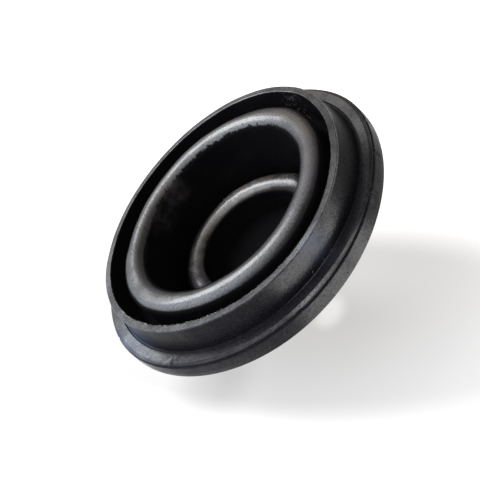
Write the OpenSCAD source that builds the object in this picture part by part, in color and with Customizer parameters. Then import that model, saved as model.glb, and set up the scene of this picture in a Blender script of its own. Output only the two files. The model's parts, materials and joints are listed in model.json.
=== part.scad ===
// Gear shift dust boot: one rubber moulding, turned about Z.
// The neck's end stands at z = 0 and the wide opening faces up. All sizes are in millimetres.
// Radii run inwards from the flange's edge: ledge, collar, groove, outer fold, valley, inner fold.

/* [Overall] */
// Height from the neck's end to the rim of the collar
overall_h = 45; // [38:0.5:60]
// Outside diameter of the flange
flange_d = 100; // [84:0.5:140]

/* [Flange] */
// Thickness of the flange
flange_t = 6.2; // [4:0.1:7]
// Width of the ledge from the flange's edge in to the collar's root
ledge_w = 5.2; // [4:0.1:12]
// How far the ledge's front part is set in behind the side band, at the mould's parting line
parting_step = 0.4; // [0.1:0.05:0.8]
// Distance from the front face back to the parting line
parting_depth = 1; // [0.8:0.1:1.5]
// Width of the side band's straight part, from the back face
band_straight = 2.4; // [1.6:0.1:2.8]
// How far the side band narrows from its straight part to the parting line
band_taper = 0.35; // [0.1:0.05:0.8]
// Width of the bevel around the front face
bevel_w = 0.9; // [0.4:0.1:1.5]
// Depth of that bevel
bevel_depth = 0.4; // [0.2:0.05:0.6]
// Rounding of the flange's back edge
flange_round = 1.1; // [0.5:0.1:1.5]

/* [Collar] */
// Height of the collar above the front face
collar_h = 7.7; // [5:0.1:12]
// Wall of the collar at its rim
collar_wall = 2.1; // [1.2:0.1:3]
// How far the collar's outside widens from its rim to its root
collar_flare = 1.5; // [0:0.1:2.5]
// Rounding of the rim's outer edge
rim_round = 0.5; // [0.1:0.1:0.8]
// Width of the relief groove in the ledge at the collar's root
relief_w = 0.7; // [0.4:0.1:1.2]
// Depth of that groove
relief_depth = 0.5; // [0.2:0.1:1]

/* [Folds] */
// Wall of the bellows
wall = 1.6; // [1:0.1:2]
// Gap between the collar and the outer fold, at the rim
groove_w = 4.6; // [3:0.1:8]
// Rubber left under that gap
groove_floor = 2; // [1.4:0.1:3]
// Width of the outer fold over its two walls
outer_fold_w = 7; // [5.5:0.1:9]
// How far the outer fold's crest lies below the rim
outer_fold_drop = 0; // [0:0.1:3]
// Gap between the two folds, at their crests
valley_w = 3.9; // [3:0.1:6]
// How far the floor of that gap lies below the rim
valley_drop = 26.5; // [22:0.1:34]
// Width of the inner fold over its two walls
inner_fold_w = 7; // [4.5:0.1:8]
// How far the inner fold's crest lies below the rim
inner_fold_drop = 17.9; // [12:0.1:22]
// Lean of the fold walls, in degrees, which lets the moulding leave its mould
draft = 1.5; // [0.5:0.1:2]

/* [Neck] */
// Diameter of the bore that grips the lever
bore_d = 18; // [12:0.5:22]
// Wall of the neck's straight end
neck_wall = 4.5; // [2.5:0.1:5.5]
// Length of the neck's straight outside
neck_h = 8; // [5:0.5:10]
// Length of the bore, from the neck's end up to the web
bore_h = 12; // [9:0.5:14]
// Rise of the web from the bore out to the wall of the cup
web_rise = 0.6; // [0.2:0.1:6]
// Rounding of the cup's inner corner
cup_round = 4; // [2:0.5:5]

/* [Hidden] */
$fn = 96;

// Roundings of creases and of edges that only break a corner
crease_round = 0.25;
mouth_round = 0.8;
neck_round = 1.2;
bore_round = 0.6;
// Larger than any fold can hold, so that a crest or a valley is as round as its width allows
full_round = 50;
// No arc takes more than this share of the edge beside it
edge_share = 0.48;
// A blend's circle is larger than its arc by this much, so that it always crosses both edges
blend_grow = 0.0005;
// A blend reaches this far past the edges that it rounds, and this far along them past its arc
blend_reach = 0.05;
blend_lap = 0.2;

face_z = overall_h - collar_h;
back_z = face_z - flange_t;
parting_z = face_z - parting_depth;
groove_z = back_z + groove_floor;
crest1_z = overall_h - outer_fold_drop;
crest2_z = overall_h - inner_fold_drop;
valley_z = overall_h - valley_drop;
cup_z = bore_h + web_rise;

// Radii from the outside in, at the rim or at the fold's own crest
flange_r = flange_d / 2;
band_front_r = flange_r - band_taper;
ledge_r = band_front_r - parting_step;
root_r = flange_r - ledge_w;
rim_r = root_r - collar_flare;
rim_in_r = rim_r - collar_wall;
fold1_out_r = rim_in_r - groove_w;
fold1_in_r = fold1_out_r - outer_fold_w;
fold2_out_r = fold1_in_r - valley_w;
fold2_in_r = fold2_out_r - inner_fold_w;
bore_r = bore_d / 2;
neck_r = bore_r + neck_wall;

// Radii at the feet of the leaning walls
slope = tan(draft);
groove_out_r = rim_in_r - (overall_h - groove_z) * slope;
groove_in_r = fold1_out_r + (crest1_z - groove_z) * slope;
valley_out_r = fold1_in_r - (crest1_z - valley_z) * slope;
valley_in_r = fold2_out_r + (crest2_z - valley_z) * slope;
cup_r = fold2_in_r - (crest2_z - cup_z) * slope;

// The section's corners, each [radius, height, rounding], anticlockwise from the rim
FRONT = [
    [rim_r, overall_h, rim_round],
    [rim_in_r, overall_h, 0],
    [groove_out_r, groove_z, full_round],
    [groove_in_r, groove_z, full_round],
    [fold1_out_r, crest1_z, full_round],
    [fold1_in_r, crest1_z, full_round],
    [valley_out_r, valley_z, full_round],
    [valley_in_r, valley_z, full_round],
    [fold2_out_r, crest2_z, full_round],
    [fold2_in_r, crest2_z, full_round],
    [cup_r, cup_z, cup_round],
    [bore_r, bore_h, neck_round]
];
BACK = [
    [bore_r, 0, bore_round],
    [neck_r, 0, neck_round],
    [neck_r, neck_h, neck_round],
    [cup_r + wall, cup_z - wall, cup_round + wall],
    [fold2_in_r + wall, crest2_z - wall, full_round],
    [fold2_out_r - wall, crest2_z - wall, full_round],
    [valley_in_r - wall, valley_z - wall, full_round],
    [valley_out_r + wall, valley_z - wall, full_round],
    [fold1_in_r + wall, crest1_z - wall, full_round],
    [fold1_out_r - wall, crest1_z - wall, full_round],
    [groove_in_r - wall, back_z, mouth_round]
];
EDGE = [
    [flange_r, back_z, flange_round],
    [flange_r, back_z + band_straight, 0],
    [band_front_r, parting_z, crease_round],
    [ledge_r, parting_z, 0],
    [ledge_r, face_z - bevel_depth, crease_round],
    [ledge_r - bevel_w, face_z, crease_round],
    [root_r + relief_w, face_z, 0],
    [root_r + relief_w, face_z - relief_depth, crease_round],
    [root_r, face_z - relief_depth, crease_round]
];
SECTION = concat(FRONT, BACK, EDGE);
COUNT = len(SECTION);

function corner(i) = [SECTION[i % COUNT][0], SECTION[i % COUNT][1]];
function before(i) = corner(i + COUNT - 1);
function after(i) = corner(i + 1);
function turn(a, b) = a[0] * b[1] - a[1] * b[0];
function is_convex(i) = turn(corner(i) - before(i), after(i) - corner(i)) > 0;
function is_hollow(i) = SECTION[i][2] > 0 && !is_convex(i);

function unit(v) = v / norm(v);
function half_angle(i) = acos(unit(before(i) - corner(i)) * unit(after(i) - corner(i))) / 2;
// A corner's rounding, limited by the shorter edge beside it
function rounding(i) = min(
    SECTION[i][2],
    edge_share * tan(half_angle(i)) * min(norm(before(i) - corner(i)), norm(after(i) - corner(i)))
);
// The centre of the arc that rounds a corner, and the point where it touches the edge from a neighbour
function arc_centre(i) =
    corner(i)
    + unit(unit(before(i) - corner(i)) + unit(after(i) - corner(i))) * rounding(i) / sin(half_angle(i));
function touch(i, neighbour) = corner(i) + unit(neighbour - corner(i)) * rounding(i) / tan(half_angle(i));
function past_touch(i, neighbour) = touch(i, neighbour) + unit(neighbour - corner(i)) * blend_lap;
// A point moved out from the arc's centre, so that a cut reaches past the edge it rounds
function pushed(i, point) = arc_centre(i) + (point - arc_centre(i)) * (1 + blend_reach / rounding(i));
// A hollow corner is bridged from touch to touch, and its circle then scoops the bridge out
function outline(i) = is_hollow(i) ? [touch(i, before(i)), touch(i, after(i))] : [corner(i)];

module arc_disc(i) {
    translate(arc_centre(i))
        circle(r = rounding(i) + blend_grow);
}

// What the bridge over a hollow corner loses to the arc that rounds it
module bridge_waste(i) {
    intersection() {
        polygon([
            past_touch(i, before(i)),
            pushed(i, past_touch(i, before(i))),
            pushed(i, corner(i)),
            pushed(i, past_touch(i, after(i))),
            past_touch(i, after(i))
        ]);
        arc_disc(i);
    }
}

// What an outward corner loses to the arc that rounds it
module corner_waste(i) {
    difference() {
        polygon([
            arc_centre(i),
            pushed(i, touch(i, before(i))),
            pushed(i, corner(i)),
            pushed(i, touch(i, after(i)))
        ]);
        arc_disc(i);
    }
}

module section() {
    difference() {
        polygon([for (i = [0 : COUNT - 1]) each outline(i)]);
        for (i = [0 : COUNT - 1]) {
            if (is_hollow(i))
                bridge_waste(i);
            else if (SECTION[i][2] > 0)
                corner_waste(i);
        }
    }
}

module boot() {
    color([0.05, 0.05, 0.055])
        rotate_extrude()
            section();
}

boot();
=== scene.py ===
"""Looks of the gear shift dust boot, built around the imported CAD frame.

The boot's axis is Z. Blender's lengths are in metres. The section, the set of the rubber and the marks on it
are in millimetres, as in the CAD model, and the material works in millimetres too. Azimuths are in degrees.

Some kinds of value repeat. A pair of lengths is where something starts and where it is full, or where it
starts to end and where it is gone. A value named SOFT is where something starts and ends, and the width over
which it fades. A sector is the azimuth of its middle and its reach either side, and may end with a level.
A spot is an azimuth, a radius, a height and a reach.
"""

import json
import math

import bpy
import numpy as np
from mathutils import Euler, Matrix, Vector

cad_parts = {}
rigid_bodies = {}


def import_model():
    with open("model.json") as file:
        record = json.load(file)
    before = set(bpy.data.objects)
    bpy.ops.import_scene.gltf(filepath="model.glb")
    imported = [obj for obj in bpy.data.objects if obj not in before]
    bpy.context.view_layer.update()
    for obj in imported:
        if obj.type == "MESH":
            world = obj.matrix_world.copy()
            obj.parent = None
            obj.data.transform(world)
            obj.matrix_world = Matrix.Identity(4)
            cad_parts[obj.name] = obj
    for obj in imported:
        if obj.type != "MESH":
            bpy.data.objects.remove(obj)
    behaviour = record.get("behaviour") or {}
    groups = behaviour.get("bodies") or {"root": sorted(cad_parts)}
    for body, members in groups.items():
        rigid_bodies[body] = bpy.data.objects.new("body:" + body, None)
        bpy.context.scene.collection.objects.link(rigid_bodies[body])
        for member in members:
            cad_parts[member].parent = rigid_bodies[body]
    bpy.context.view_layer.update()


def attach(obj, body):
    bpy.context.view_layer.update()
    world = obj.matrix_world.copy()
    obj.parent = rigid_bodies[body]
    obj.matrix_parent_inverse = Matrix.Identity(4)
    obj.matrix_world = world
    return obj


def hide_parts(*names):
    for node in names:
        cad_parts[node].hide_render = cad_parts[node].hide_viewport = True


MM = 0.001

# Driving sizes of the section, with the CAD model's names, and radii for its diameters
OVERALL_H = 45.0
FLANGE_R = 50.0
FLANGE_T = 6.2
LEDGE_W = 5.2
PARTING_STEP = 0.4
PARTING_DEPTH = 1.0
BAND_STRAIGHT = 2.4
BAND_TAPER = 0.35
BEVEL_W = 0.9
BEVEL_DEPTH = 0.4
COLLAR_H = 7.7
COLLAR_WALL = 2.1
COLLAR_FLARE = 1.5
RELIEF_W = 0.7
RELIEF_DEPTH = 0.5
WALL = 1.6
GROOVE_W = 4.6
GROOVE_FLOOR = 2.0
OUTER_FOLD_W = 7.0
VALLEY_W = 3.9
VALLEY_DROP = 26.5
INNER_FOLD_W = 7.0
INNER_FOLD_DROP = 17.9
DRAFT = 1.5
BORE_R = 9.0
NECK_WALL = 4.5
NECK_H = 8.0
BORE_H = 12.0
WEB_RISE = 0.6

# Roundings of the section's corners. The rim's outer corner is sharper than in the CAD model.
RIM_ROUND = 0.3
TRIM_ROUND = 0.25
FLANGE_ROUND = 1.1
BAND_ROUND = 0.3
TAPER_ROUND = 0.15
STEP_ROUND = 0.1
RELIEF_ROUND = 0.15
CREASE_ROUND = 0.25
MOUTH_ROUND = 0.8
CUP_ROUND = 4.0
NECK_ROUND = 1.2
BORE_ROUND = 0.6
FULL_ROUND = 50.0
EDGE_SHARE = 0.48

# Heights and radii that follow from those sizes
FACE_Z = OVERALL_H - COLLAR_H
BACK_Z = FACE_Z - FLANGE_T
PARTING_Z = FACE_Z - PARTING_DEPTH
GROOVE_Z = BACK_Z + GROOVE_FLOOR
VALLEY_Z = OVERALL_H - VALLEY_DROP
CREST2_Z = OVERALL_H - INNER_FOLD_DROP
CUP_Z = BORE_H + WEB_RISE
BAND_FRONT_R = FLANGE_R - BAND_TAPER
LEDGE_R = BAND_FRONT_R - PARTING_STEP
ROOT_R = FLANGE_R - LEDGE_W
RELIEF_R = ROOT_R + RELIEF_W
RIM_R = ROOT_R - COLLAR_FLARE
RIM_IN_R = RIM_R - COLLAR_WALL
FOLD1_OUT_R = RIM_IN_R - GROOVE_W
FOLD1_IN_R = FOLD1_OUT_R - OUTER_FOLD_W
FOLD2_OUT_R = FOLD1_IN_R - VALLEY_W
FOLD2_IN_R = FOLD2_OUT_R - INNER_FOLD_W
NECK_R = BORE_R + NECK_WALL

# Radii at the feet of the leaning walls
LEAN = math.tan(math.radians(DRAFT))
GROOVE_OUT_R = RIM_IN_R - (OVERALL_H - GROOVE_Z) * LEAN
GROOVE_IN_R = FOLD1_OUT_R + (OVERALL_H - GROOVE_Z) * LEAN
VALLEY_OUT_R = FOLD1_IN_R - (OVERALL_H - VALLEY_Z) * LEAN
VALLEY_IN_R = FOLD2_OUT_R + (CREST2_Z - VALLEY_Z) * LEAN
CUP_R = FOLD2_IN_R - (CREST2_Z - CUP_Z) * LEAN

# How finely the skin is cut: segments round the axis, degrees per step of an arc, and the longest run
SEGMENTS = 500
FINE_ARC = 12
COARSE_ARC = 30
LONGEST_RUN = 7.0

# Slow waves of each ring, as the soft moulding has set: (waves round the ring, height, azimuth of a peak)
RIM_WAVES = ((2, 0.24, 51), (3, 0.6, 37), (4, 0.2, 6))
FLANGE_WAVES = ((2, 0.35, 45), (3, 0.15, 45), (4, 0.35, -2))
FOLD1_OUT_WAVES = ((0, -0.22, 0), (1, 0.29, -65), (2, 0.78, 3), (3, 0.34, 48), (4, 0.35, 2))
FOLD1_IN_WAVES = ((0, -0.52, 0), (1, 0.34, -54), (2, 0.38, 8), (3, 0.22, 43), (4, 0.1, -3))
FOLD2_WAVES = ((0, 0.13, 0), (1, 0.38, 137), (2, 0.48, -57), (3, 0.28, -4), (4, 0.17, -19))

# Where each ring's waves start and end, in radius and in height
COLLAR_FROM_R = (38.5, 41.0)
COLLAR_FROM_Z = (36.0, 44.0)
FLANGE_FROM_R = (43.0, 47.0)
FLANGE_TO_Z = (36.5, 39.0)
FOLD1_FROM_R = (26.5, 29.0)
FOLD1_TO_R = (37.2, 38.6)
FOLD1_FROM_Z = (20.0, 42.0)
FOLD1_IN_TO_OUT_R = (30.5, 35.5)
FOLD2_TO_R = (26.2, 28.6)
FOLD2_FROM_Z = (13.0, 26.0)

# Ripple of the folds
RANDOM_SEED = 11
RIPPLE_COUNTS = range(6, 26)
RIPPLE_SIZE = 0.035
RIPPLE_LEAST = 0.3
RIPPLE_TO_R = (43.5, 45.5)
RIPPLE_FROM_Z = (12.0, 20.0)
LIFT_TO_R = (38.0, 40.0)

# Tears of the rim's inner edge, which are larger about one azimuth
TEAR_KNOTS = 400
TEAR_SIZE = 0.05
TEAR_SECTOR = (-140, 60)
TEAR_EXTRA = 1.0
TEAR_FROM_R = (39.5, 40.5)
TEAR_TO_R = (41.5, 42.3)
TEAR_FROM_Z = (44.3, 44.95)

# Nicks and dents of the flange, as spots with a depth, and the share of a dent's reach that is fully deep
DENTS = (
    (-62.7, 49.9, 35.8, 0.7, 0.45),
    (-37.0, 49.8, 36.0, 0.8, 0.35),
    (-34.0, 49.6, 35.0, 0.6, -0.25),
    (179.0, 49.9, 36.6, 0.9, 0.5),
    (-130.0, 50.0, 34.6, 1.4, 0.2),
    (-96.0, 49.4, 36.3, 1.0, 0.25),
    (-20.0, 49.6, 36.2, 1.2, 0.3),
)
DENT_FLOOR = 0.2

# Camera, fitted to the photograph's view of the rim, flange and folds
CAMERA_PLACE = (0.0, -0.17425, 0.15782)
CAMERA_TURN = (41.737, 36.799, -32.855)
SENSOR_MM = 36.0
FOCAL_PX = 700.0
IMAGE_PX = 480.0
NEAREST = 0.01


def front_corners():
    """Corners of the side that faces up, from the rim in to the bore: (radius, height, rounding)."""
    return [
        (RIM_R, OVERALL_H, RIM_ROUND),
        (RIM_IN_R, OVERALL_H, TRIM_ROUND),
        (GROOVE_OUT_R, GROOVE_Z, FULL_ROUND),
        (GROOVE_IN_R, GROOVE_Z, FULL_ROUND),
        (FOLD1_OUT_R, OVERALL_H, FULL_ROUND),
        (FOLD1_IN_R, OVERALL_H, FULL_ROUND),
        (VALLEY_OUT_R, VALLEY_Z, FULL_ROUND),
        (VALLEY_IN_R, VALLEY_Z, FULL_ROUND),
        (FOLD2_OUT_R, CREST2_Z, FULL_ROUND),
        (FOLD2_IN_R, CREST2_Z, FULL_ROUND),
        (CUP_R, CUP_Z, CUP_ROUND),
        (BORE_R, BORE_H, NECK_ROUND),
    ]


def back_corners():
    """Corners of the side that faces down, from the bore out to the flange's back."""
    return [
        (BORE_R, 0, BORE_ROUND),
        (NECK_R, 0, NECK_ROUND),
        (NECK_R, NECK_H, NECK_ROUND),
        (CUP_R + WALL, CUP_Z - WALL, CUP_ROUND + WALL),
        (FOLD2_IN_R + WALL, CREST2_Z - WALL, FULL_ROUND),
        (FOLD2_OUT_R - WALL, CREST2_Z - WALL, FULL_ROUND),
        (VALLEY_IN_R - WALL, VALLEY_Z - WALL, FULL_ROUND),
        (VALLEY_OUT_R + WALL, VALLEY_Z - WALL, FULL_ROUND),
        (FOLD1_IN_R + WALL, OVERALL_H - WALL, FULL_ROUND),
        (FOLD1_OUT_R - WALL, OVERALL_H - WALL, FULL_ROUND),
        (GROOVE_IN_R - WALL, BACK_Z, MOUTH_ROUND),
    ]


def flange_corners():
    """Corners of the flange's edge and face, from its back up to the collar's root."""
    return [
        (FLANGE_R, BACK_Z, FLANGE_ROUND),
        (FLANGE_R, BACK_Z + BAND_STRAIGHT, BAND_ROUND),
        (BAND_FRONT_R, PARTING_Z, TAPER_ROUND),
        (LEDGE_R, PARTING_Z, STEP_ROUND),
        (LEDGE_R, FACE_Z - BEVEL_DEPTH, CREASE_ROUND),
        (LEDGE_R - BEVEL_W, FACE_Z, CREASE_ROUND),
        (RELIEF_R, FACE_Z, RELIEF_ROUND),
        (RELIEF_R, FACE_Z - RELIEF_DEPTH, CREASE_ROUND),
        (ROOT_R, FACE_Z - RELIEF_DEPTH, CREASE_ROUND),
    ]


def section_corners():
    """The section's corners, anticlockwise from the rim: (radius, height, rounding, degrees per step)."""
    fine = [corner + (FINE_ARC,) for corner in front_corners()]
    coarse = [corner + (COARSE_ARC,) for corner in back_corners() + flange_corners()]
    return fine + coarse


def rounded_outline(corners):
    """Points of the closed outline, each corner rounded as far as the shorter edge beside it allows."""
    points = []
    for i, (radius, height, wanted, step) in enumerate(corners):
        before = Vector(corners[i - 1][:2])
        here = Vector((radius, height))
        after = Vector(corners[(i + 1) % len(corners)][:2])
        to_before = (before - here).normalized()
        to_after = (after - here).normalized()
        half = to_before.angle(to_after) / 2
        shorter = min((before - here).length, (after - here).length)
        rounding = min(wanted, EDGE_SHARE * math.tan(half) * shorter)
        centre = here + (to_before + to_after).normalized() * rounding / math.sin(half)
        start = here + to_before * rounding / math.tan(half) - centre
        turn = math.pi - 2 * half
        if to_before.cross(to_after) > 0:
            turn = -turn
        steps = max(2, math.ceil(abs(math.degrees(turn)) / step))
        for k in range(steps + 1):
            angle = turn * k / steps
            c, s = math.cos(angle), math.sin(angle)
            points.append(centre + Vector((start.x * c - start.y * s, start.x * s + start.y * c)))
    return points


def split_runs(points):
    """The same closed outline with its long runs cut into even parts."""
    out = []
    for here, after in zip(points, points[1:] + points[:1]):
        parts = max(1, math.ceil((after - here).length / LONGEST_RUN))
        out += [here.lerp(after, k / parts) for k in range(parts)]
    return out


def waves(parts, azimuth):
    """The sum of the waves at each azimuth, which is in radians."""
    total = np.zeros_like(azimuth)
    for count, height, peak in parts:
        total += height * np.cos(count * (azimuth - math.radians(peak)))
    return total


def ramp(x, low, high):
    """0 below low, 1 above high, with a smooth rise between."""
    t = np.clip((x - low) / (high - low), 0, 1)
    return t * t * (3 - 2 * t)


def degrees_off(azimuth, middle):
    """How far each azimuth, in radians, lies from the middle, in degrees, from -180 to 180."""
    return (np.degrees(azimuth) - middle + 180) % 360 - 180


def set_of_rubber(azimuth, radius, height):
    """How far the moulding has set outwards at each point."""
    collar = ramp(radius, *COLLAR_FROM_R) * ramp(height, *COLLAR_FROM_Z)
    flange = ramp(radius, *FLANGE_FROM_R) * (1 - ramp(height, *FLANGE_TO_Z))
    fold1 = ramp(radius, *FOLD1_FROM_R) * (1 - ramp(radius, *FOLD1_TO_R)) * ramp(height, *FOLD1_FROM_Z)
    outer_side = ramp(radius, *FOLD1_IN_TO_OUT_R)
    fold2 = (1 - ramp(radius, *FOLD2_TO_R)) * ramp(height, *FOLD2_FROM_Z)
    return (
        collar * waves(RIM_WAVES, azimuth)
        + flange * waves(FLANGE_WAVES, azimuth)
        + fold1 * outer_side * waves(FOLD1_OUT_WAVES, azimuth)
        + fold1 * (1 - outer_side) * waves(FOLD1_IN_WAVES, azimuth)
        + fold2 * waves(FOLD2_WAVES, azimuth)
    )


def ripple(rng, azimuth):
    """An uneven ripple round the axis, smaller as its waves get shorter."""
    parts = []
    for count in RIPPLE_COUNTS:
        height = RIPPLE_SIZE * rng.uniform(RIPPLE_LEAST, 1.0) * RIPPLE_COUNTS[0] / count
        parts.append((count, height, rng.uniform(0, 360)))
    return waves(parts, azimuth)


def tears(rng, azimuth, radius, height):
    """How far the rim's torn inner edge stands out at each point."""
    knots = np.linspace(-math.pi, math.pi, TEAR_KNOTS)
    jags = rng.normal(0, TEAR_SIZE, TEAR_KNOTS)
    jags[-1] = jags[0]
    turn = (azimuth + math.pi) % (2 * math.pi) - math.pi
    middle, reach = TEAR_SECTOR
    more = 1 - ramp(np.abs(degrees_off(azimuth, middle)), 0, reach)
    edge = (1 - ramp(radius, *TEAR_TO_R)) * ramp(radius, *TEAR_FROM_R) * ramp(height, *TEAR_FROM_Z)
    return edge * np.interp(turn, knots, jags) * (1 + TEAR_EXTRA * more)


def small_unevenness(azimuth, radius, height):
    """Ripple of the folds, the rim's torn inner edge and the flange's dents: (outwards, upwards)."""
    rng = np.random.default_rng(RANDOM_SEED)
    inside = (1 - ramp(radius, *RIPPLE_TO_R)) * ramp(height, *RIPPLE_FROM_Z)
    outwards = inside * ripple(rng, azimuth)
    upwards = inside * (1 - ramp(radius, *LIFT_TO_R)) * ripple(rng, azimuth)
    outwards += tears(rng, azimuth, radius, height)
    for middle, dent_r, dent_z, reach, depth in DENTS:
        across = radius * np.radians(degrees_off(azimuth, middle))
        away = np.sqrt(across**2 + (radius - dent_r) ** 2 + (height - dent_z) ** 2)
        outwards -= depth * (1 - ramp(away, DENT_FLOOR * reach, reach))
    return outwards, upwards


def revolve(name, outline):
    """A closed ring of the outline about Z, set as the rubber has."""
    count = len(outline)
    azimuth = np.repeat(np.arange(SEGMENTS) * 2 * math.pi / SEGMENTS, count)
    radius = np.tile(np.array([p.x for p in outline]), SEGMENTS)
    height = np.tile(np.array([p.y for p in outline]), SEGMENTS)
    outwards, upwards = small_unevenness(azimuth, radius, height)
    radius = radius + set_of_rubber(azimuth, radius, height) + outwards
    height = np.minimum(height + upwards, OVERALL_H)
    verts = np.stack([radius * np.cos(azimuth), radius * np.sin(azimuth), height], axis=-1) * MM
    faces = []
    for i in range(SEGMENTS):
        j = (i + 1) % SEGMENTS
        for k in range(count):
            m = (k + 1) % count
            faces.append((i * count + k, j * count + k, j * count + m, i * count + m))
    mesh = bpy.data.meshes.new(name)
    mesh.from_pydata(verts.tolist(), [], faces)
    mesh.polygons.foreach_set("use_smooth", [True] * len(faces))
    mesh.update()
    obj = bpy.data.objects.new(name, mesh)
    bpy.context.scene.collection.objects.link(obj)
    return obj


class Graph:
    """Short names for building a node tree."""

    def __init__(self, tree):
        self.tree = tree

    def node(self, kind, **settings):
        node = self.tree.nodes.new(kind)
        for key, value in settings.items():
            setattr(node, key, value)
        return node

    def feed(self, socket, value):
        """Link the socket to another node's output, or set its own value."""
        if isinstance(value, bpy.types.NodeSocket):
            self.tree.links.new(value, socket)
        else:
            socket.default_value = value

    def math(self, operation, *values):
        node = self.node("ShaderNodeMath", operation=operation)
        for socket, value in zip(node.inputs, values):
            self.feed(socket, value)
        return node.outputs[0]

    def product(self, *values):
        total = values[0]
        for value in values[1:]:
            total = self.math("MULTIPLY", total, value)
        return total

    def total(self, *values):
        total = values[0]
        for value in values[1:]:
            total = self.math("ADD", total, value)
        return total

    def largest(self, *values):
        most = values[0]
        for value in values[1:]:
            most = self.math("MAXIMUM", most, value)
        return most

    def length(self, x, y):
        return self.math("SQRT", self.total(self.product(x, x), self.product(y, y)))

    def spared(self, factor, share=1.0):
        """1 where the factor is 0, less the share where it is 1."""
        return self.math("MULTIPLY_ADD", factor, -share, 1.0)

    def ramp(self, value, low, high, to_low=0.0, to_high=1.0):
        node = self.node("ShaderNodeMapRange", interpolation_type="SMOOTHSTEP")
        names = ("Value", "From Min", "From Max", "To Min", "To Max")
        for name, item in zip(names, (value, low, high, to_low, to_high)):
            self.feed(node.inputs[name], item)
        return node.outputs["Result"]

    def fade(self, value, low, high, most=1.0):
        """The most below low, and 0 above high."""
        return self.ramp(value, low, high, most, 0.0)

    def between(self, value, low, high, soft):
        """1 from low to high, fading over the soft width outside them."""
        return self.product(self.ramp(value, low - soft, low), self.fade(value, high, high + soft))

    def mixed(self, factor, first, second):
        """A value part of the way from the first to the second."""
        node = self.node("ShaderNodeMix", data_type="FLOAT")
        for socket, value in ((node.inputs[0], factor), (node.inputs[2], first), (node.inputs[3], second)):
            self.feed(socket, value)
        return node.outputs[0]

    def colour(self, factor, first, second):
        """A colour part of the way from the first to the second."""
        node = self.node("ShaderNodeMix", data_type="RGBA")
        for socket, value in ((node.inputs[0], factor), (node.inputs[6], first), (node.inputs[7], second)):
            self.feed(socket, value)
        return node.outputs[2]

    def vector(self, x, y, z):
        node = self.node("ShaderNodeCombineXYZ")
        for socket, value in zip(node.inputs, (x, y, z)):
            self.feed(socket, value)
        return node.outputs[0]

    def axes(self, vector):
        node = self.node("ShaderNodeSeparateXYZ")
        self.feed(node.inputs[0], vector)
        return node.outputs

    def along(self, point, way):
        """How far a point lies along a direction."""
        node = self.node("ShaderNodeVectorMath", operation="DOT_PRODUCT")
        self.feed(node.inputs[0], point)
        node.inputs[1].default_value = way
        return node.outputs["Value"]

    def distance(self, point, place):
        node = self.node("ShaderNodeVectorMath", operation="DISTANCE")
        self.feed(node.inputs[0], point)
        node.inputs[1].default_value = place
        return node.outputs["Value"]

    def noise(self, point, size, detail=2.0, roughness=0.5):
        """Smooth noise from 0 to 1 with features about the size apart."""
        node = self.node("ShaderNodeTexNoise")
        self.feed(node.inputs["Vector"], point)
        node.inputs["Scale"].default_value = 1 / size
        node.inputs["Detail"].default_value = detail
        node.inputs["Roughness"].default_value = roughness
        return node.outputs["Fac"]


class Place:
    """Where a point is on the boot, in mm and radians."""

    # Share of the height, and mm per radian, in the spaces that draw noise out up the wall and round the ring
    RISE_SHARE = 0.12
    TURN_LENGTH = 2.5
    # Share of a spot's reach that is fully covered
    SPOT_CORE = 0.15

    def __init__(self, graph):
        coords = graph.node("ShaderNodeTexCoord")
        scale = graph.node("ShaderNodeVectorMath", operation="SCALE")
        graph.feed(scale.inputs[0], coords.outputs["Object"])
        scale.inputs["Scale"].default_value = 1 / MM
        self.graph = graph
        self.point = scale.outputs[0]
        x, y, self.high = graph.axes(self.point)
        self.out = graph.length(x, y)
        self.turn = graph.math("ARCTAN2", y, x)
        self.collar_r = graph.math("SUBTRACT", self.out, self.waves(RIM_WAVES))
        self.up_wall = graph.vector(x, y, graph.product(self.high, self.RISE_SHARE))
        self.round_ring = graph.vector(self.out, self.high, graph.product(self.turn, self.TURN_LENGTH))
        self.facing_up = graph.axes(coords.outputs["Normal"])[2]

    def waves(self, parts):
        """The slow waves of a ring, as in the mesh."""
        heights = []
        for count, height, peak in parts:
            turns = self.graph.product(self.turn, count)
            off = self.graph.math("SUBTRACT", turns, math.radians(count * peak))
            heights.append(self.graph.product(self.graph.math("COSINE", off), height))
        return self.graph.total(*heights)

    def toward(self, azimuth, width, rise=1.0, rest=0.0):
        """The rest value plus a rise at the azimuth, which is gone at the width either side."""
        off = self.graph.math("COSINE", self.graph.math("SUBTRACT", self.turn, math.radians(azimuth)))
        return self.graph.ramp(off, math.cos(math.radians(width)), 1.0, rest, rest + rise)

    def spot(self, azimuth, out, high, reach):
        """1 at a point of the surface, falling to 0 at the reach."""
        turn = math.radians(azimuth)
        centre = (out * math.cos(turn), out * math.sin(turn), high)
        return self.graph.fade(self.graph.distance(self.point, centre), self.SPOT_CORE * reach, reach)


class Patterns:
    """The rubber's noise: each pattern has its size in mm, its detail and its roughness."""

    def __init__(self, graph, at):
        self.patches = graph.noise(at.point, 7.0, 3.0)
        self.dents = graph.noise(at.point, 5.5, 2.0)
        self.fine = graph.noise(at.point, 2.2, 3.0)
        self.clumps = graph.noise(at.point, 1.7)
        self.jags = graph.noise(at.point, 1.3, 4.0, 0.6)
        self.peel = graph.noise(at.point, 1.1, 2.0)
        self.sparse = graph.noise(at.point, 0.6, 1.0)
        self.glints = graph.noise(at.point, 0.5, 1.0)
        self.grain = graph.noise(at.point, 0.42, 3.0)
        self.crumbs_and_glints = graph.noise(at.point, 0.34, 1.0)
        self.streaks = graph.noise(at.up_wall, 0.55, 3.0, 0.6)
        self.scuffs = graph.noise(at.round_ring, 0.5, 3.0)
        self.pits = graph.ramp(graph.noise(at.point, 0.8, 1.0), 0.21, 0.26)
        self.reflection_noise = graph.total(self.fine, self.dents)


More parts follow.
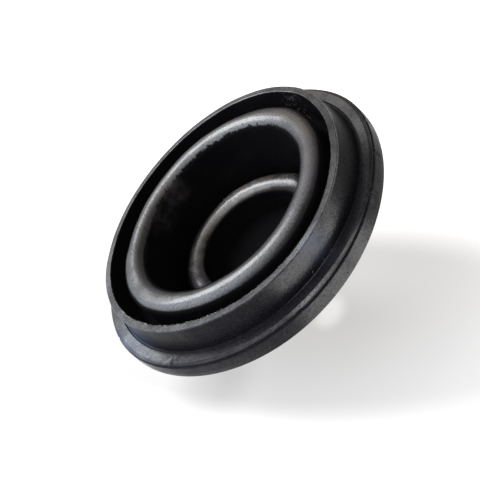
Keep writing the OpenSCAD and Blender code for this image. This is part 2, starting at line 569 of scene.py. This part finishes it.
# Sectors of the boot as the camera sees it, and those where the rubber is polished, dull or torn
FAR_SIDE = (60, 75)
LEFT_SIDE = (-165, 75)
NEAR_SIDE = (-90, 80)
POLISHED = (-80, 22)
DULL_RIGHT = (-38, 24)
DULL_LEFT = (-118, 22)
TORN = (-110, 75)

# How much the large patches change the polish of the folds and of the outside: noise and level, from and to
FOLD_PATCHES = (0.3, 0.7, 0.88, 1.05)
OUTSIDE_PATCHES = (0.25, 0.75, 0.6, 1.4)

# The folds' polish. On the inner side it ends at a ragged lip, lower on the left and steeper far away.
LIP_JAG = 3.0
LIP1_OUT = (31.0, 32.2)
LIP1_START, LIP1_START_FAR, LIP1_START_LEFT = 42.6, 43.2, 40.0
LIP1_FULL, LIP1_FULL_FAR = 43.5, 43.9
SHOULDER1_OUT = (34.6, 36.0)
SHOULDER_POLISH = 0.6
FOLD1_ENDS_R = (37.6, 38.6)
FOLD1_STARTS_Z = (36.0, 42.0)
LIP2_OUT = (21.4, 22.8)
LIP2_STARTS_Z = (24.9, 25.7)
FOLD2_ENDS_R = (26.8, 27.6)
FOLD2_Z_SOFT = (25.0, 29.0, 2.5)


def fold_polish(graph, at, noise):
    """Polish of the two folds' tops, ending in a ragged edge on their inner sides."""
    ragged = graph.total(at.high, graph.product(graph.math("SUBTRACT", noise.jags, 0.5), LIP_JAG))
    far = at.toward(*FAR_SIDE)
    start = graph.mixed(at.toward(*LEFT_SIDE), graph.mixed(far, LIP1_START, LIP1_START_FAR), LIP1_START_LEFT)
    full = graph.mixed(far, LIP1_FULL, LIP1_FULL_FAR)
    lip1 = graph.largest(graph.ramp(at.out, *LIP1_OUT), graph.ramp(ragged, start, full))
    shoulder = graph.ramp(at.out, *SHOULDER1_OUT, 1.0, SHOULDER_POLISH)
    fold1 = graph.product(
        graph.fade(at.out, *FOLD1_ENDS_R),
        graph.ramp(at.high, *FOLD1_STARTS_Z),
        lip1,
        graph.mixed(at.toward(*NEAR_SIDE), 1.0, shoulder),
    )
    lip2 = graph.largest(graph.ramp(at.out, *LIP2_OUT), graph.ramp(ragged, *LIP2_STARTS_Z))
    fold2 = graph.product(graph.fade(at.out, *FOLD2_ENDS_R), graph.between(at.high, *FOLD2_Z_SOFT), lip2)
    return graph.product(graph.largest(fold1, fold2), graph.ramp(noise.patches, *FOLD_PATCHES))


# Polish of the rim's face: its least and most level, and sectors with what they add. Torn rubber has none.
RIM_LEVELS = (0.4, 0.95)
RIM_MOST_SECTOR = (90, 150)
RIM_BRIGHT = (-62, 30, 0.25)
RIM_DARK = (-105, 20, -0.4)
RIM_TORN_R = (41.45, 41.8)
RIM_Z = (44.35, 44.7)


def rim_polish(graph, at):
    """Polish of the rim's face."""
    rim = graph.total(graph.mixed(at.toward(*RIM_MOST_SECTOR), *RIM_LEVELS), at.toward(*RIM_BRIGHT))
    torn = graph.mixed(at.toward(*TORN), 1.0, graph.ramp(at.collar_r, *RIM_TORN_R))
    return graph.product(rim, at.toward(*RIM_DARK, 1.0), torn)


# Polish of the collar's wall. It fades towards the root, further up the wall where the wall is polished.
WALL_LEVEL = 0.16
WALL_POLISHED_LEVEL = 0.7
WALL_DULLED_RIGHT = 0.9
WALL_DULLED_LEFT = 0.6
WALL_ROOT_Z = 37.6
WALL_FULL_Z = (43.5, 39.5)
WALL_ROOT_LEVELS = (0.08, 0.4)
WALL_R = (42.0, 42.7)


def wall_polish(graph, at, polished):
    """Polish of the collar's wall."""
    wall = graph.product(
        graph.total(WALL_LEVEL, graph.product(polished, WALL_POLISHED_LEVEL)),
        graph.spared(at.toward(*DULL_RIGHT), WALL_DULLED_RIGHT),
        graph.spared(at.toward(*DULL_LEFT), WALL_DULLED_LEFT),
    )
    full_z = graph.mixed(polished, *WALL_FULL_Z)
    root = graph.ramp(at.high, WALL_ROOT_Z, full_z, graph.mixed(polished, *WALL_ROOT_LEVELS), 1.0)
    return graph.product(wall, root, graph.ramp(at.collar_r, *WALL_R))


# Polish of the flange: its face is shaded by the collar, further out on the near side
FACE_LEVEL = 0.12
FACE_LEFT = (180, 48, 0.65)
FACE_RIGHT = (12, 54, 1.05)
FACE_SHADE_SECTOR = (-100, 70)
FACE_SHADE_R = 45.6
FACE_CLEAR_R = (46.0, 48.0)
FACE_SHADE_LEVEL = 0.2
BAND_LEVEL = 0.15
BAND_POLISHED_LEVEL = 0.75
BAND_RIGHT = (0, 40, 0.3)
BAND_LEFT = (180, 36, 0.4)
BAND_DULLED = 0.5
BAND_R = (48.6, 48.9)


def flange_polish(graph, at, polished):
    """Polish of the flange's face and of its side band."""
    face = graph.total(FACE_LEVEL, at.toward(*FACE_LEFT), at.toward(*FACE_RIGHT))
    clear_r = graph.mixed(at.toward(*FACE_SHADE_SECTOR), *FACE_CLEAR_R)
    face = graph.product(face, graph.ramp(at.out, FACE_SHADE_R, clear_r, FACE_SHADE_LEVEL, 1.0))
    band = graph.total(BAND_LEVEL, graph.product(polished, BAND_POLISHED_LEVEL))
    band = graph.total(band, at.toward(*BAND_RIGHT), at.toward(*BAND_LEFT))
    band = graph.product(band, graph.spared(at.toward(*DULL_RIGHT), BAND_DULLED))
    return graph.mixed(graph.ramp(at.out, *BAND_R), face, band)


# Where the collar's wall gives way to the flange, the outside starts, the dull parting step lies, and the
# underside and the neck are
FLANGE_STARTS_R = (45.0, 45.5)
OUTSIDE_STARTS_R = (39.4, 40.4)
PARTING_R = (48.0, 48.5)
PARTING_Z_SOFT = (36.1, 36.5, 0.25)
UNDERSIDE_FACING = (-0.5, -0.9)
UNDERSIDE_LEVEL = 0.4
NECK_ENDS_Z = (9.0, 11.0)
NECK_STARTS_R = (12.0, 13.0)
NECK_LEVEL = 0.4


def outside_polish(graph, at, noise):
    """Polish of the rim, the collar's wall, the flange, the underside and the neck."""
    polished = at.toward(*POLISHED)
    flange = flange_polish(graph, at, polished)
    outside = graph.mixed(graph.ramp(at.out, *FLANGE_STARTS_R), wall_polish(graph, at, polished), flange)
    outside = graph.mixed(graph.ramp(at.high, *RIM_Z), outside, rim_polish(graph, at))
    parting = graph.product(graph.ramp(at.out, *PARTING_R), graph.between(at.high, *PARTING_Z_SOFT))
    outside = graph.product(outside, graph.ramp(at.out, *OUTSIDE_STARTS_R), graph.spared(parting))
    underside = graph.product(graph.ramp(at.facing_up, *UNDERSIDE_FACING), UNDERSIDE_LEVEL)
    neck = graph.product(graph.fade(at.high, *NECK_ENDS_Z, NECK_LEVEL), graph.ramp(at.out, *NECK_STARTS_R))
    return graph.product(graph.largest(outside, underside, neck), graph.ramp(noise.patches, *OUTSIDE_PATCHES))


# Specks: pale specks on the torn edge and at the collar's root, partly crumbs and partly painted glints,
# fibres in the groove, painted glints on the inner fold
TORN_EDGE_SECTOR = (-140, 70)
TORN_EDGE_R_SOFT = (41.1, 41.5, 0.1)
TORN_EDGE_Z = (44.6, 44.85)
CRUMBS_AND_GLINTS_OVER = (0.56, 0.64)
ROOT_SECTOR = (-70, 32)
ROOT_R_SOFT = (44.4, 44.9, 0.2)
ROOT_Z_SOFT = (37.2, 38.0, 0.3)
SPARSE_OVER = (0.72, 0.76)
TUFT_SPOT = (14, 41.0, 39.0, 8.0)
TUFT_OVER = (0.45, 0.55)
TUFT_LEVEL = 0.8
FIBRE_WIDTH = (0.004, 0.016)
GLINT_SPOT = (76, 21.0, 27.0, 7.5)
GLINT_Z = (26.1, 26.5)
GLINTS_OVER = (0.58, 0.66)


def specks_and_glints(graph, at, noise):
    """Pale specks, partly crumbs and partly painted glints, fibres, and painted glints."""
    # Pale specks on the torn edge and at the root: partly crumbs, partly painted glints
    edge = graph.product(graph.between(at.collar_r, *TORN_EDGE_R_SOFT), graph.ramp(at.high, *TORN_EDGE_Z))
    edge = graph.product(edge, at.toward(*TORN_EDGE_SECTOR), graph.ramp(noise.crumbs_and_glints, *CRUMBS_AND_GLINTS_OVER))
    root = graph.product(graph.between(at.out, *ROOT_R_SOFT), graph.between(at.high, *ROOT_Z_SOFT))
    root = graph.product(root, at.toward(*ROOT_SECTOR), graph.ramp(noise.sparse, *SPARSE_OVER))
    from_line = graph.math("ABSOLUTE", graph.math("SUBTRACT", noise.fine, 0.5))
    tuft = graph.product(at.spot(*TUFT_SPOT), graph.ramp(noise.clumps, *TUFT_OVER))
    tuft = graph.product(tuft, graph.fade(from_line, *FIBRE_WIDTH), TUFT_LEVEL)
    # Painted glints on the inner fold's crest
    glint = graph.product(at.spot(*GLINT_SPOT), graph.ramp(at.high, *GLINT_Z))
    glint = graph.product(glint, graph.ramp(noise.glints, *GLINTS_OVER))
    return graph.largest(edge, root, tuft, glint)


# Rubber's colours: the clean rubber, its films of dust and painted sheen on the far and the near side, a
# painted bluish sheen, and specks and painted glints
BLACK = (0.0065, 0.006, 0.007, 1)
WARM_DUST_AND_SHEEN = (0.22, 0.19, 0.165, 1)
VIOLET_DUST_AND_SHEEN = (0.17, 0.155, 0.22, 1)
PAINTED_BLUE_SHEEN = (0.10, 0.16, 0.28, 1)
SPECK_AND_GLINT = (0.42, 0.41, 0.39, 1)
# The films are violet on the near side and in the painted reflection, where the colour paints a bluish sheen
VIOLET_SECTOR = (-120, 125)
REFLECTION_VIOLET = 0.5

# Where the films lie, and the painted sheens, reflection and highlights among them
# Painted bluish sheen on the collar's wall and on the flange's face
BLUE_SHEEN_SPOTS = ((-78, 43.8, 42.4, 8.0), (-172, 47.5, 37.3, 17.0))
BLUE_SHEEN_STARTS_R = (42.6, 43.2)
# Painted reflection on the valley's far wall, with a fainter tail
REFLECTION_SPOT = (103, 28.6, 40.2, 7.0)
REFLECTION_TAIL = (122, 28.6, 39.8, 9.0)
REFLECTION_TAIL_LEVEL = 0.6
# Painted highlights on the outer fold's crest, near and far, and on the inner fold's left
FOLD1_NEAR_R_SOFT = (32.6, 34.8, 1.0)
FOLD1_NEAR_Z = (42.5, 44.0)
FOLD1_NEAR_SECTOR = (-30, 62)
FOLD1_FAR_R_SOFT = (31.9, 33.0, 0.8)
FOLD1_FAR_SECTOR = (50, 60)
FOLD2_LEFT_Z_SOFT = (25.4, 28.5, 1.0)
FOLD2_LEFT_ENDS_R = (23.4, 24.6)
FOLD2_LEFT_SECTOR = (170, 60)
# Painted highlight on the inner fold's crest, strongest on the far side
CREST_HIGHLIGHT_Z_SOFT = (25.6, 28.5, 1.2)
CREST_HIGHLIGHT_ENDS_R = (22.4, 23.8)
CREST_HIGHLIGHT_SECTOR = (80, 120)
CREST_HIGHLIGHT_MOST_SECTOR = (75, 50)
CREST_HIGHLIGHT_LEVELS = (0.22, 0.7)
# The rim's worn outer edge, painted paler also as a highlight over its dark line of shading
WORN_EDGE_HIGHLIGHT_Z_SOFT = (44.65, 44.95, 0.12)
WORN_EDGE_HIGHLIGHT_R = (42.8, 43.1)
WARM_SECTOR = (25, 60)
WARM_Z = (36.0, 38.0)
WARM_STARTS_R = (29.5, 31.0)
RIM_INSIDE_R_SOFT = (37.6, 41.2, 0.8)
OUTSIDE_R = (42.0, 43.0)
PATCHY_OVER = (0.4, 0.7)
SCRAPED_FOLD = (13, 23.0, 27.0, 5.0)
SCRAPED_BAND = (-53, 50.0, 34.5, 5.0)

# Each film's noise, the ramp that it goes through, and the film's strength. Several of the films are painted
# highlights, sheens and a reflection.
FILMS_AND_SHEENS = {
    "warm": ("grain", (0.35, 0.8), 0.16),
    "patchy": ("grain", (0.45, 0.75), 0.05),
    "outside": ("grain", (0.3, 0.8), 0.09),
    "painted_reflection": ("reflection_noise", (0.8, 1.2, 0.3, 1.0), 0.3),
    "painted_fold1_near_highlight": ("grain", (0.3, 0.65, 0.6, 1.0), 0.3),
    "painted_fold1_far_highlight": ("grain", (0.3, 0.65), 0.4),
    "painted_fold2_left_highlight": ("fine", (0.35, 0.6, 0.4, 1.0), 0.3),
    "painted_crest_highlight": ("fine", (0.3, 0.6, 0.5, 1.0), 1.0),
    "worn_edge_and_highlight": ("jags", (0.4, 0.6), 0.22),
    "scraped_fold": ("streaks", (0.4, 0.6), 0.35),
    "scraped_band": ("streaks", (0.5, 0.62), 0.3),
}
BLUE_SHEEN_STRENGTH = 0.22


def painted_blue_sheen(graph, at):
    """Painted bluish sheen on the wall and on the flange's face."""
    spots = graph.largest(*[at.spot(*spot) for spot in BLUE_SHEEN_SPOTS])
    return graph.product(spots, graph.ramp(at.out, *BLUE_SHEEN_STARTS_R))


def painted_reflection(graph, at):
    """A painted reflection on the far wall of the valley, with a fainter tail."""
    return graph.largest(at.spot(*REFLECTION_SPOT), graph.product(at.spot(*REFLECTION_TAIL), REFLECTION_TAIL_LEVEL))


def warm_film(graph, at):
    """A warm film on the far right, apart from the rim's inner wall."""
    return graph.product(
        at.toward(*WARM_SECTOR),
        graph.ramp(at.high, *WARM_Z),
        graph.ramp(at.out, *WARM_STARTS_R),
        graph.spared(graph.between(at.collar_r, *RIM_INSIDE_R_SOFT)),
    )


def ring_highlights_and_wear(graph, at):
    """Films that lie along the rings: painted highlights on the outer fold and on the inner fold, and the
    rim's outer edge, worn and painted paler as a highlight.
    """
    painted_fold1_near_highlight = graph.product(
        graph.between(at.out, *FOLD1_NEAR_R_SOFT),
        graph.ramp(at.high, *FOLD1_NEAR_Z),
        at.toward(*FOLD1_NEAR_SECTOR),
    )
    painted_fold2_left_highlight = graph.product(
        graph.between(at.high, *FOLD2_LEFT_Z_SOFT),
        graph.fade(at.out, *FOLD2_LEFT_ENDS_R),
        at.toward(*FOLD2_LEFT_SECTOR),
    )
    painted_crest_highlight = graph.product(
        graph.between(at.high, *CREST_HIGHLIGHT_Z_SOFT),
        graph.fade(at.out, *CREST_HIGHLIGHT_ENDS_R),
        at.toward(*CREST_HIGHLIGHT_SECTOR),
        graph.mixed(at.toward(*CREST_HIGHLIGHT_MOST_SECTOR), *CREST_HIGHLIGHT_LEVELS),
    )
    worn_edge_and_highlight = graph.between(at.high, *WORN_EDGE_HIGHLIGHT_Z_SOFT)
    worn_edge_and_highlight = graph.product(worn_edge_and_highlight, graph.ramp(at.collar_r, *WORN_EDGE_HIGHLIGHT_R))
    return {
        "painted_fold1_near_highlight": painted_fold1_near_highlight,
        "painted_fold1_far_highlight": graph.product(graph.between(at.out, *FOLD1_FAR_R_SOFT), at.toward(*FOLD1_FAR_SECTOR)),
        "painted_fold2_left_highlight": painted_fold2_left_highlight,
        "painted_crest_highlight": painted_crest_highlight,
        "worn_edge_and_highlight": worn_edge_and_highlight,
    }


def film_and_sheen(graph, at, noise):
    """How much dust, wear and painted highlights, sheens and reflection cover the black rubber."""
    places = {
        "warm": warm_film(graph, at),
        "patchy": graph.ramp(noise.patches, *PATCHY_OVER),
        "outside": graph.ramp(at.out, *OUTSIDE_R),
        "painted_reflection": painted_reflection(graph, at),
        "scraped_fold": at.spot(*SCRAPED_FOLD),
        "scraped_band": at.spot(*SCRAPED_BAND),
        **ring_highlights_and_wear(graph, at),
    }
    # The layers hold painted highlights, sheens and a reflection as well as dust and wear
    layers = [graph.product(painted_blue_sheen(graph, at), BLUE_SHEEN_STRENGTH)]
    for name, place in places.items():
        pattern, levels, strength = FILMS_AND_SHEENS[name]
        layers.append(graph.product(place, graph.ramp(getattr(noise, pattern), *levels), strength))
    return graph.total(*layers)


def rubber_colour(graph, at, noise):
    """Black rubber under its films of dust and painted sheen, and its specks and painted glints."""
    # Violet on the near side and in the painted reflection: the colour there paints a bluish sheen
    violet = graph.largest(at.toward(*VIOLET_SECTOR), graph.product(painted_reflection(graph, at), REFLECTION_VIOLET))
    dust_and_sheen = graph.colour(painted_blue_sheen(graph, at), graph.colour(violet, WARM_DUST_AND_SHEEN, VIOLET_DUST_AND_SHEEN), PAINTED_BLUE_SHEEN)
    rubber = graph.colour(film_and_sheen(graph, at, noise), BLACK, dust_and_sheen)
    return graph.colour(specks_and_glints(graph, at, noise), rubber, SPECK_AND_GLINT)


# Roughness: of the streaks and the scuffs, and what the cup, the groove and the torn rim add
STREAK_ROUGHNESS = (0.3, 0.7, 0.3, 0.42)
SCUFF_ROUGHNESS = (0.55, 0.75, 0.0, 0.12)
CUP_ENDS_Z = (19.0, 22.0)
CUP_ENDS_R = (19.0, 20.0)
CUP_ROUGHNESS = 0.4
GROOVE_ENDS_Z = (39.0, 43.0)
GROOVE_R_SOFT = (37.0, 41.0, 0.6)
GROOVE_ROUGHNESS = 0.45
TORN_R_SOFT = (40.9, 41.4, 0.1)
TORN_Z = (44.4, 44.7)
TORN_ROUGHNESS = 0.6


def rubber_roughness(graph, at, noise):
    """Roughness of the rubber under its polish."""
    cup = graph.product(graph.fade(at.high, *CUP_ENDS_Z, CUP_ROUGHNESS), graph.fade(at.out, *CUP_ENDS_R))
    groove = graph.fade(at.high, *GROOVE_ENDS_Z, GROOVE_ROUGHNESS)
    groove = graph.product(groove, graph.between(at.out, *GROOVE_R_SOFT))
    torn = graph.product(graph.between(at.collar_r, *TORN_R_SOFT), graph.ramp(at.high, *TORN_Z))
    torn = graph.product(torn, at.toward(*TORN), TORN_ROUGHNESS)
    return graph.total(
        graph.ramp(noise.streaks, *STREAK_ROUGHNESS),
        graph.ramp(noise.scuffs, *SCUFF_ROUGHNESS),
        graph.largest(cup, groove, torn),
    )


# Height of each pattern in the rubber's bump, in mm
GRAIN_HEIGHT = 0.02
PEEL_HEIGHT = 0.03
DENTS_HEIGHT = 0.10
STREAKS_HEIGHT = 0.012
SCUFFS_HEIGHT = 0.012
PITS_HEIGHT = 0.02
STREAKS_START_R = (42.5, 43.5)


def rubber_bump(graph, at, noise):
    """Grain, dents, streaks up the outer wall, scuffs and pits."""
    relief = graph.total(
        graph.product(noise.grain, GRAIN_HEIGHT),
        graph.product(noise.peel, PEEL_HEIGHT),
        graph.product(noise.dents, DENTS_HEIGHT),
        graph.product(noise.streaks, graph.ramp(at.out, *STREAKS_START_R), STREAKS_HEIGHT),
        graph.product(noise.scuffs, SCUFFS_HEIGHT),
        graph.product(noise.pits, PITS_HEIGHT),
    )
    bump = graph.node("ShaderNodeBump")
    bump.inputs["Distance"].default_value = MM
    graph.feed(bump.inputs["Height"], relief)
    return bump.outputs[0]


SMUDGE_SPOT = (-146, 47.0, 37.3, 4.5)
SMUDGE_OVER = (0.42, 0.55)
SMUDGE_DULLS = 0.8
GRAIN_POLISH = (0.3, 0.7, 0.65, 1.28)
COAT_ROUGHNESS = 0.25
COAT_IOR = 2.15
BASE_SPECULAR = 0.05


def polish(graph, at, noise):
    """Polish of the whole boot, broken by a smudge, the grain and pits."""
    smudge = graph.product(at.spot(*SMUDGE_SPOT), graph.ramp(noise.fine, *SMUDGE_OVER))
    whole = graph.product(
        graph.total(fold_polish(graph, at, noise), outside_polish(graph, at, noise)),
        graph.spared(smudge, SMUDGE_DULLS),
        graph.ramp(noise.grain, *GRAIN_POLISH),
        noise.pits,
    )
    return graph.math("MINIMUM", whole, 1.0)


def rubber_material():
    """Black moulded rubber: dull inside, polished by wear on the folds and the outside, with grain, dust and
    painted highlights.

    The polish is a coat over a nearly black base. It is glossier than rubber's, in place of the photograph's
    strong light.
    """
    mat = bpy.data.materials.new("moulded_rubber")
    mat.use_nodes = True
    shader = mat.node_tree.nodes["Principled BSDF"]
    graph = Graph(mat.node_tree)
    at = Place(graph)
    noise = Patterns(graph, at)
    shader.inputs["Coat Roughness"].default_value = COAT_ROUGHNESS
    shader.inputs["Coat IOR"].default_value = COAT_IOR
    shader.inputs["Specular IOR Level"].default_value = BASE_SPECULAR
    graph.feed(shader.inputs["Coat Weight"], polish(graph, at, noise))
    graph.feed(shader.inputs["Base Color"], rubber_colour(graph, at, noise))
    graph.feed(shader.inputs["Roughness"], rubber_roughness(graph, at, noise))
    bump = rubber_bump(graph, at, noise)
    graph.feed(shader.inputs["Normal"], bump)
    graph.feed(shader.inputs["Coat Normal"], bump)
    return mat


# The white table, and the glow that it has for the camera and in reflections
TABLE_COLOUR = (0.7, 0.685, 0.675, 1)
TABLE_ROUGHNESS = 0.7
TABLE_SIDE = 6
GLOW_COLOUR = (1.0, 0.985, 0.965, 1)
GLOW_LEVEL = 1.07
GLOW_SHARE = 0.5

# The boot's shadow: a leaning ellipse, beyond which the table glows more
SHADOW_WAY = (0.47, -0.88, 0.0)
SHADOW_SIDE = (0.88, 0.47, 0.0)
SHADOW_START = 20 * MM
SHADOW_LEFT = 16 * MM
SHADOW_HALF_WIDTH = 36 * MM
SHADOW_LENGTH = 140 * MM
SHADOW_LEAN = 0.07
SHADOW_EDGE = (0.75, 1.1)
BEYOND_GLOW = 0.76

# Inside it: its brighter right side near the boot, a pool of light, and the dark under the flange's left edge
CORE_ENDS = (20 * MM, 62 * MM)
CORE_STARTS = (2 * MM, 20 * MM)
CORE_GLOW = 0.3
POOL = (-1 * MM, -21.5 * MM, 0.0)
POOL_REACH = (2 * MM, 8 * MM)
POOL_GLOW = 0.42
DARK = (-45 * MM, -4 * MM, 0.0)
DARK_REACH = (4 * MM, 24 * MM)
DARK_GLOW = -0.35


def table_glow(graph):
    """What the boot's shadow adds to the table's glow, or takes from it."""
    place = graph.node("ShaderNodeTexCoord").outputs["Object"]
    side = graph.total(graph.along(place, SHADOW_SIDE), SHADOW_LEFT)
    along = graph.along(place, SHADOW_WAY)
    across = graph.math("SUBTRACT", side, graph.product(along, SHADOW_LEAN))
    across = graph.math("DIVIDE", across, SHADOW_HALF_WIDTH)
    out = graph.math("DIVIDE", graph.total(along, SHADOW_START), SHADOW_LENGTH)
    return graph.total(
        graph.ramp(graph.length(across, out), *SHADOW_EDGE, 0.0, BEYOND_GLOW),
        graph.product(graph.fade(along, *CORE_ENDS, CORE_GLOW), graph.ramp(side, *CORE_STARTS)),
        graph.fade(graph.distance(place, POOL), *POOL_REACH, POOL_GLOW),
        graph.fade(graph.distance(place, DARK), *DARK_REACH, DARK_GLOW),
    )


def table_material():
    """A white table that shows white to the camera and keeps the boot's shadow."""
    mat = bpy.data.materials.new("white_table")
    mat.use_nodes = True
    graph = Graph(mat.node_tree)
    shader = mat.node_tree.nodes["Principled BSDF"]
    shader.inputs["Base Color"].default_value = TABLE_COLOUR
    shader.inputs["Roughness"].default_value = TABLE_ROUGHNESS
    path = graph.node("ShaderNodeLightPath")
    seen = path.outputs["Is Camera Ray"]
    glow = graph.node("ShaderNodeEmission")
    glow.inputs["Color"].default_value = GLOW_COLOUR
    graph.feed(glow.inputs["Strength"], graph.math("MULTIPLY_ADD", table_glow(graph), seen, GLOW_LEVEL))
    mix = graph.node("ShaderNodeMixShader")
    shown = graph.largest(seen, path.outputs["Is Glossy Ray"])
    graph.feed(mix.inputs["Fac"], graph.product(shown, GLOW_SHARE))
    graph.feed(mix.inputs[1], shader.outputs[0])
    graph.feed(mix.inputs[2], glow.outputs[0])
    graph.feed(mat.node_tree.nodes["Material Output"].inputs["Surface"], mix.outputs[0])
    return mat


def make_table():
    bpy.ops.mesh.primitive_plane_add(size=TABLE_SIDE)
    table = bpy.context.object
    table.name = "table"
    table.data.materials.append(table_material())


def direction(elevation, azimuth):
    """The way to a place in the room, from its angle above the floor and round Z, in degrees."""
    elevation, azimuth = math.radians(elevation), math.radians(azimuth)
    level = math.cos(elevation)
    return Vector((level * math.cos(azimuth), level * math.sin(azimuth), math.sin(elevation)))


# The lamp at the window, and the room: brightest toward the window, cool on the left and warm on the right
LAMP_AIM = Vector((0, 0, 0.035))
LAMP_WAY = (57, 112)
LAMP_DISTANCE = 0.6
LAMP_SIDE = 0.36
LAMP_WATTS = 1.5
LAMP_COLOUR = (0.96, 0.98, 1.0)
WINDOW_WAY = (55, 165)
WINDOW_FOCUS = 2.0
WINDOW_LEVEL = 2.1
ROOM_LEVEL = 0.18
COOL = (0.92, 0.97, 1.06, 1)
WARM = (1.05, 1.0, 0.94, 1)
COOL_TO_WARM_X = (-0.6, 0.7)
BACKDROP = (1.0, 1.0, 1.0, 1)


def make_lamp():
    data = bpy.data.lights.new("window", "AREA")
    data.shape = "RECTANGLE"
    data.size = data.size_y = LAMP_SIDE
    data.energy = LAMP_WATTS
    data.color = LAMP_COLOUR
    lamp = bpy.data.objects.new("window", data)
    way = direction(*LAMP_WAY)
    lamp.location = LAMP_AIM + LAMP_DISTANCE * way
    lamp.rotation_euler = (-way).to_track_quat("-Z", "Y").to_euler()
    bpy.context.scene.collection.objects.link(lamp)


def make_world():
    """A room that is bright on the window's side and overhead, and dark on the camera's side."""
    world = bpy.data.worlds.new("room")
    bpy.context.scene.world = world
    world.use_nodes = True
    graph = Graph(world.node_tree)
    background = world.node_tree.nodes["Background"]
    toward = graph.node("ShaderNodeTexCoord").outputs["Generated"]
    seen = graph.node("ShaderNodeLightPath").outputs["Is Camera Ray"]
    facing = graph.largest(graph.along(toward, direction(*WINDOW_WAY)), 0.0)
    level = graph.math("MULTIPLY_ADD", graph.math("POWER", facing, WINDOW_FOCUS), WINDOW_LEVEL, ROOM_LEVEL)
    graph.feed(background.inputs["Strength"], graph.mixed(seen, level, 1.0))
    tint = graph.colour(graph.ramp(graph.axes(toward)[0], *COOL_TO_WARM_X), COOL, WARM)
    graph.feed(background.inputs["Color"], graph.colour(seen, tint, BACKDROP))


def make_camera():
    data = bpy.data.cameras.new("camera")
    data.sensor_width = SENSOR_MM
    data.lens = SENSOR_MM * FOCAL_PX / IMAGE_PX
    data.clip_start = NEAREST
    camera = bpy.data.objects.new("camera", data)
    camera.location = CAMERA_PLACE
    camera.rotation_euler = Euler([math.radians(a) for a in CAMERA_TURN], "XYZ")
    bpy.context.scene.collection.objects.link(camera)
    bpy.context.scene.camera = camera


def make_boot():
    boot = revolve("boot_skin", split_runs(rounded_outline(section_corners())))
    boot.data.materials.append(rubber_material())
    normals = boot.modifiers.new("even_shading", "WEIGHTED_NORMAL")
    normals.mode = "FACE_AREA_WITH_ANGLE"
    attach(boot, "root")
    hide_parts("boot")


def main():
    for obj in list(bpy.data.objects):
        bpy.data.objects.remove(obj)
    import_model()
    make_boot()
    make_table()
    make_lamp()
    make_world()
    make_camera()
    bpy.context.scene.view_settings.view_transform = "Standard"


main()
